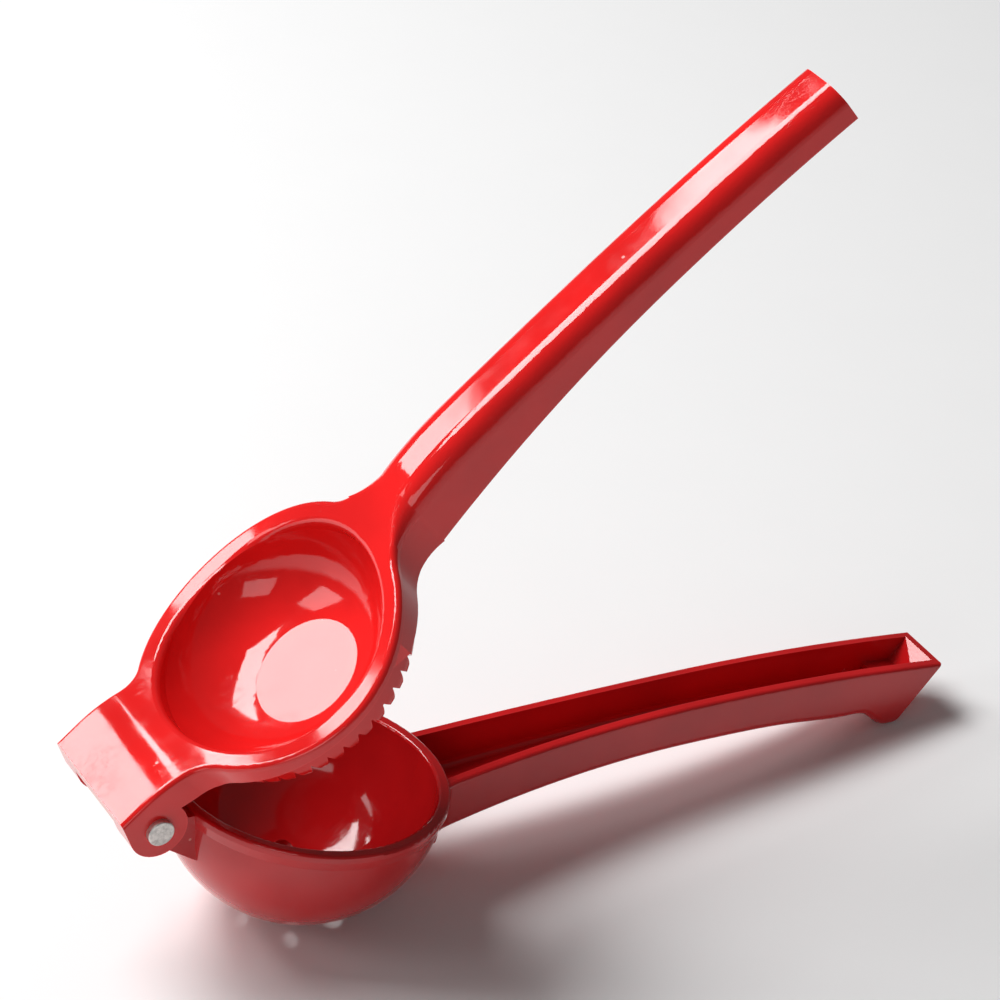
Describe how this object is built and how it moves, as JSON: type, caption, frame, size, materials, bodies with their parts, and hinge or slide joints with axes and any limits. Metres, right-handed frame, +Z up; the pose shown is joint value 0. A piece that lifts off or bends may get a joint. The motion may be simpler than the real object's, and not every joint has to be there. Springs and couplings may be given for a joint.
{
  "type": "lemon squeezer",
  "caption": "Hinged hand squeezer for lemon halves: a round cup with drain holes and a channel handle, and a press bowl on a second handle, joined by a hinge pin.",
  "frame": {"origin": "on the ground under the middle of the whole part, in the mirror plane of the squeezer", "axes": "+X along the handles away from the hinge, +Y along the hinge axis toward the side away from the camera, +Z up"},
  "size_m": [0.2424, 0.0716, 0.1959],
  "materials": {
    "red_enamel_lower": "gloss",
    "red_enamel_upper": "gloss",
    "pin_steel": "satin"
  },
  "bodies": {
    "lower": {"lower_arm": "red_enamel_lower"},
    "press": {"upper_arm": "red_enamel_upper", "hinge_pin": "pin_steel"}
  },
  "joints": [
    {"name": "hinge", "type": "hinge", "parent": "lower", "child": "press", "pos_m": [-0.11198, 0, 0.04832], "axis": [0, -1, 0], "range_deg": [-45, 70]}
  ]
}
